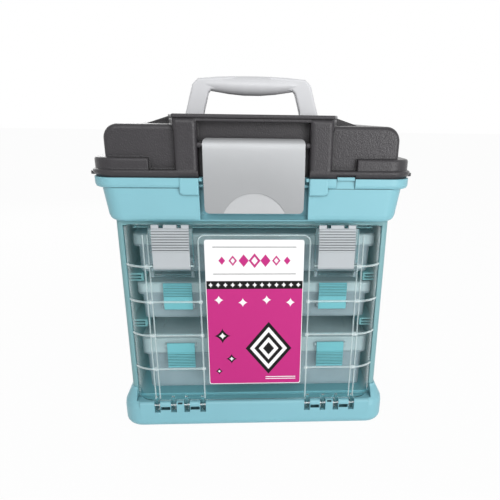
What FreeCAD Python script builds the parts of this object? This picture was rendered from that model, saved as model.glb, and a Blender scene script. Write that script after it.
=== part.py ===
import FreeCAD, Part
import math
import os

# Portable craft storage rack: a bulk bin with a hinged lid over three clear boxes behind a clear door.
# Millimetres. X runs to the right, Y to the back, Z up. The origin is on the floor, under the middle.

V = FreeCAD.Vector

# Widths that the stock boxes set
BOX_HALF = 139.7         # half width of an 11 inch utility box
BOX_ROOM = 7.3           # from a box's edge to the rack body's wall
SHELL_WALL = 3.0
SHELL_HALF = BOX_HALF + BOX_ROOM + SHELL_WALL

# Rack body, from the floor up
SHELL_Y0 = -108.0        # front of the rack body's posts
SHELL_Y1 = 120.2         # back of the rack body
POST_WIDTH = 7.0         # each front post, seen beside the door
POST_DEPTH = 13.0
BASE_FLARE = 10.0        # how far the base stands out past the rack body at the sides
BASE_FRONT = 19.0        # how far the base stands out in front of the posts
BASE_BACK = 4.0
FOOT_HEIGHT = 1.2
LIP_Z = 35.5             # top of the base in front of the door
DECK_Z = 39.0            # floor of the rack

# Utility boxes
BOX_Y0 = -94.0
BOX_DEPTH = 184.0
BOX_WALL = 1.8
BOX_SHIFT = 1.8          # the loose boxes stand a little to the right
DEEP_HEIGHT = 70.0
THIN_HEIGHT = 44.5
DEEP_SEAM = 48.5         # bottom of the lid's skirt, from the box's floor
THIN_SEAM = 32.5
SLIDE_GAP = 0.3          # under each box
RUNNER_HEIGHT = 9.0
DEEP_ROOM = 13.0         # over the deep box
THIN_ROOM = 2.4          # over the middle box
HEAD_ROOM = 17.7         # over the top box
BOX_LATCH_X = BOX_HALF - 48.7    # middle of each box latch
BOX_LATCH_WIDTH = 33.0

# Bin and lid
BIN_HEIGHT = 45.0
BIN_WALL = 2.8
BIN_RIM = 10.5           # height of the bin's rim band
RIM_OVER = 18.25         # the lid's rim stands out past the rack body at the sides
FRONT_OVER = 19.0        # and in front of the posts
LID_HEIGHT = 60.6
LID_WALL = 2.8
MAIN_HALF = 52.4         # half width of the main latch
LATCH_BAY = MAIN_HALF + 5.1      # half width of the bay that holds it
BAY_DEPTH = 16.0

# Door
DOOR_THICK = 2.5
DOOR_GAP = 1.5           # between the door's side edge and the rack body's outer face
DOOR_SET = 3.5           # the door's face stands behind the lid rim by this much
DOOR_WRAP = 23.5         # width of the curved part at each side
DOOR_FALL = 13.6         # how far back the curved part comes
DOOR_LATCH_X = SHELL_HALF - 60.0
DOOR_LATCH_WIDTH = 40.0

# Handle
HANDLE_TOP = 41.0        # above the lid
HANDLE_BASE = 78.6       # outer half width at the lid
HANDLE_CROWN = 67.4      # outer half width at the top

# Levels that follow from the sizes above
DEEP_Z = DECK_Z + SLIDE_GAP
LOWER_RUNNER = DEEP_Z + DEEP_HEIGHT + DEEP_ROOM + RUNNER_HEIGHT
MIDDLE_Z = LOWER_RUNNER + SLIDE_GAP
UPPER_RUNNER = MIDDLE_Z + THIN_HEIGHT + THIN_ROOM + RUNNER_HEIGHT
TOP_Z = UPPER_RUNNER + SLIDE_GAP
SHELL_TOP = TOP_Z + THIN_HEIGHT + HEAD_ROOM
SEAM_Z = SHELL_TOP + BIN_HEIGHT
LID_TOP = SEAM_Z + LID_HEIGHT

# Planes that follow
BASE_HALF = SHELL_HALF + BASE_FLARE
BASE_Y0 = SHELL_Y0 - BASE_FRONT
BASE_Y1 = SHELL_Y1 + BASE_BACK
OPEN_HALF = SHELL_HALF - POST_WIDTH
INNER_HALF = SHELL_HALF - SHELL_WALL
RIM_HALF = SHELL_HALF + RIM_OVER
RIM_Y0 = SHELL_Y0 - FRONT_OVER
RIM_Y1 = SHELL_Y1 + 2.5
BAY_Y = RIM_Y0 + BAY_DEPTH
BOX_Y1 = BOX_Y0 + BOX_DEPTH
DOOR_Y = RIM_Y0 + DOOR_SET
DOOR_HALF = OPEN_HALF - DOOR_GAP
DOOR_Z0 = LIP_Z + 1.0
DOOR_Z1 = SHELL_TOP - 3.5

# Pivots, as (y, z)
LID_AXIS = (RIM_Y1 + 3.0, SEAM_Z + 2.0)
DOOR_AXIS = (BASE_Y0 + 2.5, LIP_Z - 4.5)
MAIN_AXIS = (RIM_Y0 + 6.5, LID_TOP - 28.6)
HANDLE_AXIS = (0.0, LID_TOP - 12.6)
DOOR_LATCH_AXIS = (DOOR_Y - 1.4, DOOR_Z1 - 43.5)
RUN = 0.05               # radial clearance of a pin in its bore


def block(x0, x1, y0, y1, z0, z1):
    return Part.makeBox(x1 - x0, y1 - y0, z1 - z0, V(x0, y0, z0))


def outline(half, y0, y1, r, z):
    k = r * (1.0 - math.sqrt(0.5))
    p = [V(-half + r, y0, z), V(half - r, y0, z), V(half - k, y0 + k, z), V(half, y0 + r, z),
         V(half, y1 - r, z), V(half - k, y1 - k, z), V(half - r, y1, z), V(-half + r, y1, z),
         V(-half + k, y1 - k, z), V(-half, y1 - r, z), V(-half, y0 + r, z), V(-half + k, y0 + k, z)]
    edges = [Part.makeLine(p[0], p[1]), Part.Arc(p[1], p[2], p[3]).toShape(),
             Part.makeLine(p[3], p[4]), Part.Arc(p[4], p[5], p[6]).toShape(),
             Part.makeLine(p[6], p[7]), Part.Arc(p[7], p[8], p[9]).toShape(),
             Part.makeLine(p[9], p[10]), Part.Arc(p[10], p[11], p[0]).toShape()]
    return Part.Wire(edges)


def plate(half, y0, y1, r, z0, z1):
    return Part.Face(outline(half, y0, y1, r, z0)).extrude(V(0, 0, z1 - z0))


def tapered(*sections):
    return Part.makeLoft([outline(*s) for s in sections], True, True)


def prism_x(points, x0, x1):
    wire = Part.makePolygon([V(x0, y, z) for y, z in points] + [V(x0, *points[0])])
    return Part.Face(wire).extrude(V(x1 - x0, 0, 0))


def prism_y(points, y0, y1):
    wire = Part.makePolygon([V(x, y0, z) for x, z in points] + [V(points[0][0], y0, points[0][1])])
    return Part.Face(wire).extrude(V(0, y1 - y0, 0))


def rod_x(x0, x1, y, z, r):
    return Part.makeCylinder(r, x1 - x0, V(x0, y, z), V(1, 0, 0))


def rod_z(x, y, z0, z1, r):
    return Part.makeCylinder(r, z1 - z0, V(x, y, z0), V(0, 0, 1))


def mirror(shape):
    return shape.mirror(V(0, 0, 0), V(1, 0, 0))


def both(shape):
    return [shape, mirror(shape)]


def join(shape, others):
    return shape.fuse(others).removeSplitter()


def soften(shape, r, pick):
    edges = [e for e in shape.Edges if pick(e.BoundBox)]
    return shape.makeFillet(r, edges)


def panel_y(half, z0, z1, r, y0, y1):
    """A flat panel with rounded corners that faces the front."""
    wire = outline(half, z0, z1, r, 0.0)
    solid = Part.Face(wire).extrude(V(0, 0, y1 - y0))
    solid.rotate(V(0, 0, 0), V(1, 0, 0), 90)
    solid.translate(V(0, y1, 0))
    return solid


def panel_x(y0, y1, z0, z1, r, x0, x1):
    """A flat panel with rounded corners that faces the side."""
    half = (y1 - y0) / 2.0
    solid = Part.Face(outline(half, z0, z1, r, 0.0)).extrude(V(0, 0, x1 - x0))
    solid.rotate(V(0, 0, 0), V(1, 0, 0), 90)
    solid.rotate(V(0, 0, 0), V(0, 0, 1), 90)
    solid.translate(V(x0, (y0 + y1) / 2.0, 0))
    return solid


# Base

ARMS = (DOOR_LATCH_X - 26.2, DOOR_LATCH_X - 6.8, DOOR_LATCH_X + 9.2, DOOR_LATCH_X + 28.8)
ARM_WIDTH = 3.6
SLOT_WIDTH = 6.8
HINGE_PIN = 1.3
SCREW = 1.6
SCREW_HEAD = 3.4
FOOT_AT = [(sx * (SHELL_HALF - 18.0), y) for sx in (-1, 1) for y in (BASE_Y0 + 32.0, BASE_Y1 - 28.0)]
POST_SCREW = (SHELL_HALF - 4.6, SHELL_Y0 + 8.0)
BACK_SCREW = (SHELL_HALF - 9.0, SHELL_Y1 - 9.0)
SCREWS = [(sx * x, y) for sx in (-1, 1) for x, y in (POST_SCREW, BACK_SCREW)]


def base_body():
    low = plate(BASE_HALF, BASE_Y0, BASE_Y1, 22.0, FOOT_HEIGHT, 27.0)
    low = soften(low, 9.5, lambda b: b.ZMax < FOOT_HEIGHT + 0.01)
    flare = tapered((BASE_HALF, BASE_Y0, BASE_Y1, 22.0, 27.0),
                    (BASE_HALF - 0.8, BASE_Y0 + 1.6, BASE_Y1 - 0.3, 21.2, 33.0),
                    (BASE_HALF - 3.8, BASE_Y0 + 7.0, BASE_Y1 - 1.2, 18.0, DECK_Z),
                    (SHELL_HALF + 2.4, SHELL_Y0 - 2.4, SHELL_Y1 + 1.6, 9.0, DECK_Z + 7.0),
                    (SHELL_HALF + 1.4, SHELL_Y0 - 1.4, SHELL_Y1 + 1.2, 7.4, DECK_Z + 9.5))
    front = block(-BASE_HALF + 20.0, BASE_HALF - 20.0, BASE_Y0, BASE_Y0 + 30.0, 20.0, LIP_Z)
    front = soften(front, 3.6, lambda b: b.YMax < BASE_Y0 + 0.01 and b.ZMin > LIP_Z - 0.01)
    return join(low, [flare, front])


def base_pockets():
    cuts = []
    x_edges = [-(SHELL_HALF - 1.0), -72.0, 0.0, 72.0, SHELL_HALF - 1.0]
    y_edges = [SHELL_Y0 + 4.0, 4.0, SHELL_Y1 - 4.0]
    for i in range(4):
        for j in range(2):
            cuts.append(block(x_edges[i] + 1.5, x_edges[i + 1] - 1.5, y_edges[j] + 1.5,
                              y_edges[j + 1] - 1.5, -1.0, DECK_Z - 3.0))
    bosses = [rod_z(x, y, -2.0, DECK_Z, 10.5) for x, y in FOOT_AT]
    return [c.cut(bosses) for c in cuts]


def base_hinge_cuts():
    y, z = DOOR_AXIS
    cuts = [rod_x(ARMS[0] - 6.0, ARMS[3] + 6.0, y, z, HINGE_PIN + RUN)]
    for x in ARMS:
        cuts.append(block(x - SLOT_WIDTH / 2, x + SLOT_WIDTH / 2, y - 9.0, y + 10.0, z - 9.2, DECK_Z + 20.0))
    for x0, x1 in ((ARMS[0], ARMS[1]), (ARMS[2], ARMS[3])):
        window = [(y - 9.0, z - 6.0), (y - 1.0, z - 6.0), (y + 9.0, z - 14.0), (y + 9.0, z - HINGE_PIN - 0.4),
                  (y - 9.0, z - HINGE_PIN - 0.4)]
        cuts.append(prism_x(window, x0 + 4.2, x1 - 4.2))
    middle = (ARMS[1] + ARMS[2]) / 2
    cuts.append(block(middle - 2.7, middle + 2.7, y - 9.0, y + 9.0, z + HINGE_PIN + 0.2, z + 3.6))
    return cuts


def base_plinth():
    body = base_body()
    seat = plate(SHELL_HALF, SHELL_Y0, SHELL_Y1, 6.0, DECK_Z, DECK_Z + 20.0)
    doorway = block(-OPEN_HALF - 0.8, OPEN_HALF + 0.8, BASE_Y0 - 5.0, SHELL_Y0, LIP_Z, DECK_Z + 20.0)
    body = body.cut([seat, doorway] + base_pockets())
    cuts = [rod_z(x, y, -1.0, FOOT_HEIGHT + 0.8, 9.0) for x, y in FOOT_AT]
    cuts += [rod_z(x, y, DECK_Z - 4.0, DECK_Z + 1.0, SCREW + RUN) for x, y in SCREWS]
    cuts += [rod_z(x, y, DECK_Z - 9.0, DECK_Z - 3.0, SCREW_HEAD + 0.3) for x, y in SCREWS]
    for c in base_hinge_cuts():
        cuts += both(c)
    return body.cut(cuts)


def foot_pads():
    return Part.makeCompound([rod_z(x, y, 0.0, FOOT_HEIGHT + 0.8, 8.95) for x, y in FOOT_AT])


def screw_up(x, y, z):
    head = Part.makeCone(SCREW_HEAD - 0.8, SCREW_HEAD, 2.0, V(x, y, z - 2.0))
    slot = block(x - 2.8, x + 2.8, y - 0.5, y + 0.5, z - 3.0, z - 1.2)
    return head.fuse(rod_z(x, y, z, z + 12.0, SCREW)).cut(slot)


def base_screws():
    return Part.makeCompound([screw_up(x, y, DECK_Z - 3.0) for x, y in SCREWS])


# Rack body and runners

PEGS = (SHELL_Y0 + 40.0, SHELL_Y1 - 55.0)
RUNNER_Y0 = BOX_Y0 - 1.0
RUNNER_Y1 = BOX_Y1 + 6.0
RUNNER_IN = BOX_HALF - 12.0


def rack_shell():
    outer = plate(SHELL_HALF, SHELL_Y0, SHELL_Y1, 6.0, DECK_Z, SHELL_TOP)
    inner = plate(INNER_HALF, SHELL_Y0 + SHELL_WALL, SHELL_Y1 - SHELL_WALL, 3.0, DECK_Z - 1.0, SHELL_TOP + 1.0)
    shell = outer.cut(inner)
    extra = []
    for post in both(block(OPEN_HALF, INNER_HALF + 1.0, SHELL_Y0, SHELL_Y0 + POST_DEPTH, DECK_Z, SHELL_TOP)):
        extra.append(post.common(outer))
    for x, y in SCREWS:
        if y > 0:
            for z0, z1 in ((DECK_Z, DECK_Z + 14.0), (SHELL_TOP - 14.0, SHELL_TOP)):
                extra.append(rod_z(x, y, z0, z1, 5.2))
                extra.append(block(x - 5.2, x + 5.2, y, SHELL_Y1 - 1.0, z0, z1))
    shell = join(shell, extra)
    cuts = [block(-OPEN_HALF, OPEN_HALF, SHELL_Y0 - 1.0, SHELL_Y0 + SHELL_WALL + 1.0, DECK_Z - 1.0, SHELL_TOP - 6.0)]
    cuts += [rod_z(x, y, DECK_Z - 1.0, DECK_Z + 10.0, SCREW + RUN) for x, y in SCREWS]
    cuts += [rod_z(x, y, SHELL_TOP - 10.5, SHELL_TOP + 1.0, SCREW + RUN) for x, y in SCREWS]
    cuts.append(panel_y(SHELL_HALF - 22.0, DECK_Z + 24.0, SHELL_TOP - 22.0, 12.0, SHELL_Y1 - 0.9, SHELL_Y1 + 1.0))
    side = panel_x(SHELL_Y0 + 24.0, SHELL_Y1 - 22.0, DECK_Z + 26.0, SHELL_TOP - 20.0, 12.0,
                   SHELL_HALF - 0.9, SHELL_HALF + 1.0)
    cuts += both(side)
    for y in PEGS:
        for top in (LOWER_RUNNER, UPPER_RUNNER):
            cuts += both(rod_x(INNER_HALF - 1.0, SHELL_HALF + 1.0, y, top - RUNNER_HEIGHT / 2, 2.5 + RUN))
    return shell.cut(cuts)


def runner(top):
    body = block(RUNNER_IN, INNER_HALF, RUNNER_Y0, RUNNER_Y1, top - RUNNER_HEIGHT, top)
    stop = block(RUNNER_IN, INNER_HALF, RUNNER_Y1 - 4.0, RUNNER_Y1, top - 1.0, top + 6.0)
    body = join(body, [stop])
    body = soften(body, 1.5, lambda b: b.YMax < RUNNER_Y0 + 0.01 and b.ZMin > top - 0.01)
    hollow = block(RUNNER_IN + 2.0, INNER_HALF - 2.5, RUNNER_Y0 + 7.0, RUNNER_Y1 - 5.0,
                   top - RUNNER_HEIGHT - 1.0, top - 2.0)
    cuts = [hollow]
    for z in (top - 2.9, top - 6.4):
        x0 = RUNNER_IN + 3.6
        x1 = INNER_HALF - 3.6
        cuts.append(block(x0, x1, RUNNER_Y0 - 1.0, RUNNER_Y0 + 5.0, z - 1.1, z + 1.1))
        for x in (x0, x1):
            cuts.append(Part.makeCylinder(1.1, 6.0, V(x, RUNNER_Y0 - 1.0, z), V(0, 1, 0)))
    body = body.cut(cuts)
    pegs = [rod_x(INNER_HALF - 2.6, SHELL_HALF - 1.0, y, top - RUNNER_HEIGHT / 2, 2.5) for y in PEGS]
    return join(body, pegs)


# Utility boxes

TRAY_KNUCKLES = (-46.0, 46.0)
LID_KNUCKLES = (-31.0, 31.0)


def box_section(inset, z, r):
    return (BOX_HALF - inset, BOX_Y0 + inset, BOX_Y1 - inset, r, z)


def tray_shell(z0, seam):
    outer = tapered(box_section(6.2, z0, 8.0), box_section(4.7, z0 + seam + 4.0, 9.0))
    rim = plate(BOX_HALF, BOX_Y0, BOX_Y1, 11.0, z0 + seam - 2.0, z0 + seam)
    outer = join(outer, [rim])
    w = BOX_WALL
    inner = tapered(box_section(6.2 + w, z0 + w, 7.0), box_section(4.7 + w, z0 + seam + 5.0, 8.0))
    tray = outer.cut(inner)
    ribs = [block(-BOX_HALF + 6.4, BOX_HALF - 6.4, -2.0, -2.0 + BOX_WALL, z0 + 1.0, z0 + seam - 1.0)]
    for x in (-BOX_HALF / 2, 0.0, BOX_HALF / 2):
        for y0, y1 in ((BOX_Y0 + 7.0, BOX_Y0 + 9.2), (-4.0, -2.0), (-0.4, 1.6), (BOX_Y1 - 9.2, BOX_Y1 - 7.0)):
            for x0, x1 in ((x - 2.0, x - 0.8), (x + 0.8, x + 2.0)):
                ribs.append(block(x0, x1, y0, y1, z0 + 1.0, z0 + seam - 3.0))
    return join(tray, ribs)


def tray_knuckles(z0, seam):
    y, z = BOX_Y1 + 1.9, z0 + seam - 2.4
    parts = []
    for x in TRAY_KNUCKLES:
        arm = block(x - 7.0, x + 7.0, BOX_Y1 - 6.0, y, z - 2.0, z + 1.6)
        parts.append(arm.fuse(rod_x(x - 7.0, x + 7.0, y, z, 2.3)))
    return parts


def lid_knuckles(z0, seam):
    y, z = BOX_Y1 + 1.9, z0 + seam - 2.4
    parts = []
    for x in LID_KNUCKLES:
        arm = block(x - 7.0, x + 7.0, BOX_Y1 - 0.9, y + 1.2, z + 1.0, z + 6.6)
        parts.append(arm.fuse(rod_x(x - 7.0, x + 7.0, y, z, 2.3)))
    return parts


def box_lid_shell(z0, seam, height, drop, inset):
    w = BOX_WALL
    outer = tapered(box_section(0.0, z0 + seam, 11.0), box_section(0.0, z0 + height - drop, 11.0),
                    box_section(inset, z0 + height, 11.0))
    inner = tapered(box_section(w, z0 + seam - 1.0, 9.5), box_section(w, z0 + height - drop - w * 0.4, 9.5),
                    box_section(inset + w, z0 + height - w, 9.5))
    lid = outer.cut(inner)
    groove = plate(BOX_HALF - 24.0, BOX_Y0 + 24.0, BOX_Y1 - 24.0, 8.0, z0 + height - 0.7, z0 + height + 1.0)
    return lid.cut(groove)


def latch_plate(y_back, z_low, z_high, ribs_low, ribs_high, count, x0, x1, thick=2.2, rib=0.7):
    """A flat latch with a row of finger ribs moulded across its face."""
    front = y_back - thick
    step = (ribs_high - ribs_low) / count
    points = [(y_back, z_low), (front + 0.6, z_low), (front, z_low + 0.9), (front, ribs_low)]
    for i in range(count):
        z = ribs_low + i * step
        points += [(front - rib, z + step * 0.18), (front - rib, z + step * 0.74), (front + 0.3, z + step * 0.84),
                   (front + 0.3, z + step)]
    points += [(front, z_high - 0.9), (front + 0.7, z_high), (y_back, z_high)]
    return prism_x(points, x0, x1)


def thin_latch(z0, x):
    """It turns on the tray and its nib stands in a pocket of the lid's skirt."""
    half = BOX_LATCH_WIDTH / 2
    y, z = thin_pivot(z0)
    body = latch_plate(y - 1.3, z - 4.2, z0 + THIN_HEIGHT - 0.5, z0 + THIN_HEIGHT - 17.5,
                       z0 + THIN_HEIGHT - 2.0, 8, x - half, x + half)
    barrel = rod_x(x - half, x + half, y, z, 2.3)
    nib = block(x - 7.0, x + 7.0, y - 1.6, BOX_Y0 + 0.8, z0 + THIN_HEIGHT - 5.6, z0 + THIN_HEIGHT - 3.8)
    return join(body, [barrel, nib]).cut(rod_x(x - half - 1, x + half + 1, y, z, 1.0 + RUN))


def thin_pivot(z0):
    return BOX_Y0 - 0.5, z0 + 16.5


def deep_pivot(z0):
    return BOX_Y0 - 2.8, z0 + DEEP_SEAM + 10.4


def deep_latch(z0, x):
    """It turns on the lid and its hook stands under a ledge of the tray."""
    half = BOX_LATCH_WIDTH / 2
    y, z = deep_pivot(z0)
    low = z - 28.6
    body = latch_plate(y - 0.9, low, z + 3.4, low + 1.6, low + 20.0, 9, x - half, x + half)
    barrel = rod_x(x - half, x + half, y, z, 2.2)
    nib = block(x - 8.0, x + 8.0, y - 1.2, BOX_Y0 + 2.2, low + 1.2, low + 3.4)
    return join(body, [barrel, nib]).cut(rod_x(x - half - 1, x + half + 1, y, z, 1.0 + RUN))


def latch_ears(x, y, z, y_root):
    """Two ears beside a latch, each with a bore for its pin."""
    half = BOX_LATCH_WIDTH / 2
    ears = []
    for x0 in (x - half - 2.6, x + half + 0.4):
        ears.append(block(x0, x0 + 2.2, y, y_root, z - 2.6, z + 2.6).fuse(rod_x(x0, x0 + 2.2, y, z, 2.6)))
    return ears


def latch_pin(x, y, z):
    half = BOX_LATCH_WIDTH / 2
    return rod_x(x - half - 2.6, x + half + 2.6, y, z, 1.0)


def pin_bore(x, y, z):
    half = BOX_LATCH_WIDTH / 2
    return rod_x(x - half - 4.0, x + half + 4.0, y, z, 1.0 + RUN)


def hinge_bore(z0, seam):
    return rod_x(-56.0, 56.0, BOX_Y1 + 1.9, z0 + seam - 2.4, 1.0 + RUN)


def dividers(z0, seam):
    pieces = []
    for x in (-BOX_HALF / 2, 0.0, BOX_HALF / 2):
        for y0, y1 in ((BOX_Y0 + 10.5, -4.3), (2.0, BOX_Y1 - 10.5)):
            pieces.append(block(x - 0.6, x + 0.6, y0, y1, z0 + BOX_WALL, z0 + seam - 4.0))
    return Part.makeCompound(pieces)


def thin_box(name, z0):
    y, z = thin_pivot(z0)
    tray = join(tray_shell(z0, THIN_SEAM), tray_knuckles(z0, THIN_SEAM))
    lid = box_lid_shell(z0, THIN_SEAM, THIN_HEIGHT, 1.6, 1.6)
    lid = join(lid, lid_knuckles(z0, THIN_SEAM))
    pockets = []
    for x in (-BOX_LATCH_X, BOX_LATCH_X):
        tray = join(tray, latch_ears(x, y, z, BOX_Y0 + 5.6))
        tray = tray.cut(pin_bore(x, y, z))
        pockets.append(block(x - 8.0, x + 8.0, BOX_Y0 - 1.0, BOX_Y0 + 1.1,
                             z0 + THIN_HEIGHT - 6.2, z0 + THIN_HEIGHT - 3.2))
    lid = lid.cut(pockets)
    return finish_box(name, z0, THIN_SEAM, tray, lid, thin_latch, (y, z))


def notch_in_tray(x, z0, seam):
    return block(x - 7.4, x + 7.4, BOX_Y1 - 1.3, BOX_Y1 + 6.0, z0 + seam - 6.0, z0 + seam + 1.0)


def deep_box(name, z0):
    y, z = deep_pivot(z0)
    tray = join(tray_shell(z0, DEEP_SEAM), tray_knuckles(z0, DEEP_SEAM))
    lid = box_lid_shell(z0, DEEP_SEAM, DEEP_HEIGHT, 3.3, 9.0)
    lid = join(lid, lid_knuckles(z0, DEEP_SEAM))
    ledges = []
    low = z - 28.6
    for x in (-BOX_LATCH_X, BOX_LATCH_X):
        lid = join(lid, latch_ears(x, y, z, BOX_Y0 + 0.9))
        lid = lid.cut(pin_bore(x, y, z))
        ledges.append(block(x - 10.0, x + 10.0, BOX_Y0 + 0.6, BOX_Y0 + 5.6, low + 4.2, low + 6.2))
    tray = join(tray, ledges)
    return finish_box(name, z0, DEEP_SEAM, tray, lid, deep_latch, (y, z))


def finish_box(name, z0, seam, tray, lid, latch, pivot):
    y, z = pivot
    bore = hinge_bore(z0, seam)
    tray = tray.cut([notch_in_tray(x, z0, seam) for x in LID_KNUCKLES])
    shapes = {name + "_tray": tray.cut(bore), name + "_lid": lid.cut(bore),
              name + "_hinge_pin": rod_x(-54.0, 54.0, BOX_Y1 + 1.9, z0 + seam - 2.4, 1.0),
              name + "_dividers": dividers(z0, seam),
              name + "_latch_left": latch(z0, -BOX_LATCH_X),
              name + "_latch_right": latch(z0, BOX_LATCH_X),
              name + "_latch_pins": Part.makeCompound([latch_pin(-BOX_LATCH_X, y, z), latch_pin(BOX_LATCH_X, y, z)])}
    for shape in shapes.values():
        shape.translate(V(BOX_SHIFT, 0, 0))
    return shapes


# Bin

HINGES = (62.0, 108.0)       # middle of each lid hinge, from the middle
HINGE_ROD = 1.5
KNUCKLE = 4.4
NOTCH = (86.0, 106.0)        # finger notch at the right of the front rim
BIN_SET = 2.8                # from the lid rim's front back to the bin's wall
LATCH_BULGE = (DOOR_LATCH_X - 24.0, DOOR_LATCH_X + 18.5)


def bin_section(inset, z, r):
    return (SHELL_HALF + 9.6 - inset, RIM_Y0 + BIN_SET + inset * 0.6, SHELL_Y1 + 0.6 - inset * 0.5, r, z)


def bin_outer():
    z = SHELL_TOP
    body = tapered(bin_section(10.2, z, 14.0), bin_section(7.6, z + 1.0, 15.0), bin_section(5.4, z + 3.0, 16.0),
                   bin_section(4.0, z + 6.5, 16.5), bin_section(0.0, SEAM_Z - BIN_RIM, 18.0))
    x, z = RIM_HALF - 1.3, SEAM_Z - BIN_RIM
    band = tapered((x - 3.6, RIM_Y0 + 4.0, RIM_Y1 - 3.6, 19.0, z), (x - 1.0, RIM_Y0 + 1.4, RIM_Y1 - 1.0, 21.4, z + 1.1),
                   (x, RIM_Y0 + 0.4, RIM_Y1, 22.0, z + 3.6), (x, RIM_Y0 + 0.4, RIM_Y1, 22.0, SEAM_Z))
    return join(body, [band])


def bin_inner():
    w = BIN_WALL
    return tapered(bin_section(6.6 + w, SHELL_TOP + 3.0, 12.0), bin_section(4.0 + w, SHELL_TOP + 8.0, 13.0),
                   bin_section(w, SEAM_Z + 1.0, 15.0))


def bay_cut(z0, z1):
    slope = [(RIM_Y0 - 6.0, z0), (BAY_Y - 4.0, z0), (BAY_Y, z0 + 4.0), (BAY_Y, z1), (RIM_Y0 - 6.0, z1)]
    return prism_x(slope, -LATCH_BAY, LATCH_BAY)


def bin_front_parts():
    """Rim blocks and catch pins beside the main latch, and the pads over the door latches."""
    parts = []
    post = block(LATCH_BAY, LATCH_BAY + 20.0, RIM_Y0 - 0.6, RIM_Y0 + 6.0, SEAM_Z - 17.0, SEAM_Z)
    post = soften(post, 1.6, lambda b: b.YMax < RIM_Y0 - 0.59 and (b.ZMax < SEAM_Z - 16.9 or b.ZLength > 5.0))
    post = post.cut(prism_y([(LATCH_BAY + 21.0, SEAM_Z - 13.5), (LATCH_BAY + 21.0, SEAM_Z - 18.0),
                             (LATCH_BAY + 14.5, SEAM_Z - 18.0)], RIM_Y0 - 2.0, RIM_Y0 + BIN_SET))
    pin = rod_x(LATCH_BAY - 4.6, LATCH_BAY + 1.0, RIM_Y0 + 8.0, SEAM_Z - 8.0, 1.7)
    knob = rod_z(LATCH_BAY - 1.6, RIM_Y0 + 3.4, SEAM_Z - 3.2, SEAM_Z, 2.0)
    knob = knob.fuse(block(LATCH_BAY - 1.6, LATCH_BAY + 1.0, RIM_Y0 + 1.6, RIM_Y0 + 5.2, SEAM_Z - 3.2, SEAM_Z))
    pad = block(LATCH_BULGE[0], LATCH_BULGE[1], RIM_Y0 + 10.4, RIM_Y0 + 14.0, SHELL_TOP - 1.3, SHELL_TOP + 1.6)
    for p in (post, pin, knob, pad):
        parts += both(p)
    return parts


def bin_knuckles():
    y, z = LID_AXIS
    parts = []
    for x in HINGES:
        for x0, x1 in ((x - 16.0, x - 8.2), (x + 8.2, x + 16.0)):
            arm = prism_x([(RIM_Y1 - 1.5, SEAM_Z - 8.0), (RIM_Y1 + 0.6, SEAM_Z - 8.0), (y + KNUCKLE - 1.0, z - 3.0),
                           (y, z), (RIM_Y1 - 1.5, SEAM_Z)], x0, x1)
            parts += both(arm.fuse(rod_x(x0, x1, y, z, KNUCKLE)))
    return parts


def bulk_bin():
    body = bin_outer()
    inner = bin_inner().cut(block(-LATCH_BAY - BIN_WALL, LATCH_BAY + BIN_WALL, RIM_Y0 - 5.0, BAY_Y + BIN_WALL,
                                  SHELL_TOP - 5.0, SEAM_Z + 10.0))
    body = body.cut([inner, bay_cut(SHELL_TOP + 2.2, SEAM_Z + 5.0)])
    body = join(body, bin_front_parts() + bin_knuckles())
    y, z = LID_AXIS
    cuts = [rod_x(-HINGES[1] - 20.0, HINGES[1] + 20.0, y, z, HINGE_ROD + RUN)]
    cuts.append(block(NOTCH[0], NOTCH[1], RIM_Y0 - 5.0, RIM_Y0 + BIN_SET, SEAM_Z - BIN_RIM - 0.5, SEAM_Z + 1.0))
    cuts += [rod_z(x, y0, SHELL_TOP - 2.0, SHELL_TOP + 9.0, SCREW + RUN) for x, y0 in SCREWS]
    for x in HINGES:
        cuts += both(rod_x(x - 8.2, x + 8.2, y, z, KNUCKLE + 0.4))
    tongue = block(NOTCH[0] + 0.8, NOTCH[1] - 0.8, RIM_Y0 + 0.8, RIM_Y0 + BIN_SET + 0.4, SEAM_Z - 1.6, SEAM_Z + 1.8)
    return body.cut(cuts).fuse(tongue).removeSplitter()


def bin_screw(x, y):
    z = SHELL_TOP + 3.0
    head = Part.makeCone(SCREW_HEAD, SCREW_HEAD - 0.8, 2.0, V(x, y, z))
    slot = block(x - 2.8, x + 2.8, y - 0.5, y + 0.5, z + 1.2, z + 3.0)
    return head.fuse(rod_z(x, y, z - 12.0, z, SCREW)).cut(slot)


def bin_screws():
    return Part.makeCompound([bin_screw(x, y) for x, y in SCREWS])


def lid_hinge_rods():
    y, z = LID_AXIS
    rods = []
    for x in HINGES:
        rods += both(rod_x(x - 16.4, x + 16.4, y, z, HINGE_ROD))
    return Part.makeCompound(rods)


# Lid

DOME_HALF = SHELL_HALF + 2.0
SIDE_LIP = 3.6               # lips at the rim's two ends, to lift the lid by
DOME_TOP = LID_TOP - 9.8
DOME_ROUND = 14.5            # of its two upper side edges
PILASTER = 23.5              # width of the posts beside the main latch
CENTRE_FRONT = LATCH_BAY + PILASTER
CENTRE_HALF = CENTRE_FRONT + 6.0
CENTRE_Y1 = 72.0
WELL_HALF = HANDLE_BASE + 2.6
WELL_Y0 = HANDLE_AXIS[0] - 13.0
WELL_Y1 = HANDLE_AXIS[0] + 60.0
WELL_Z = HANDLE_AXIS[1] - 14.0
CORNER_IN = 107.7            # inner end of the raised corner bands


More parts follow.
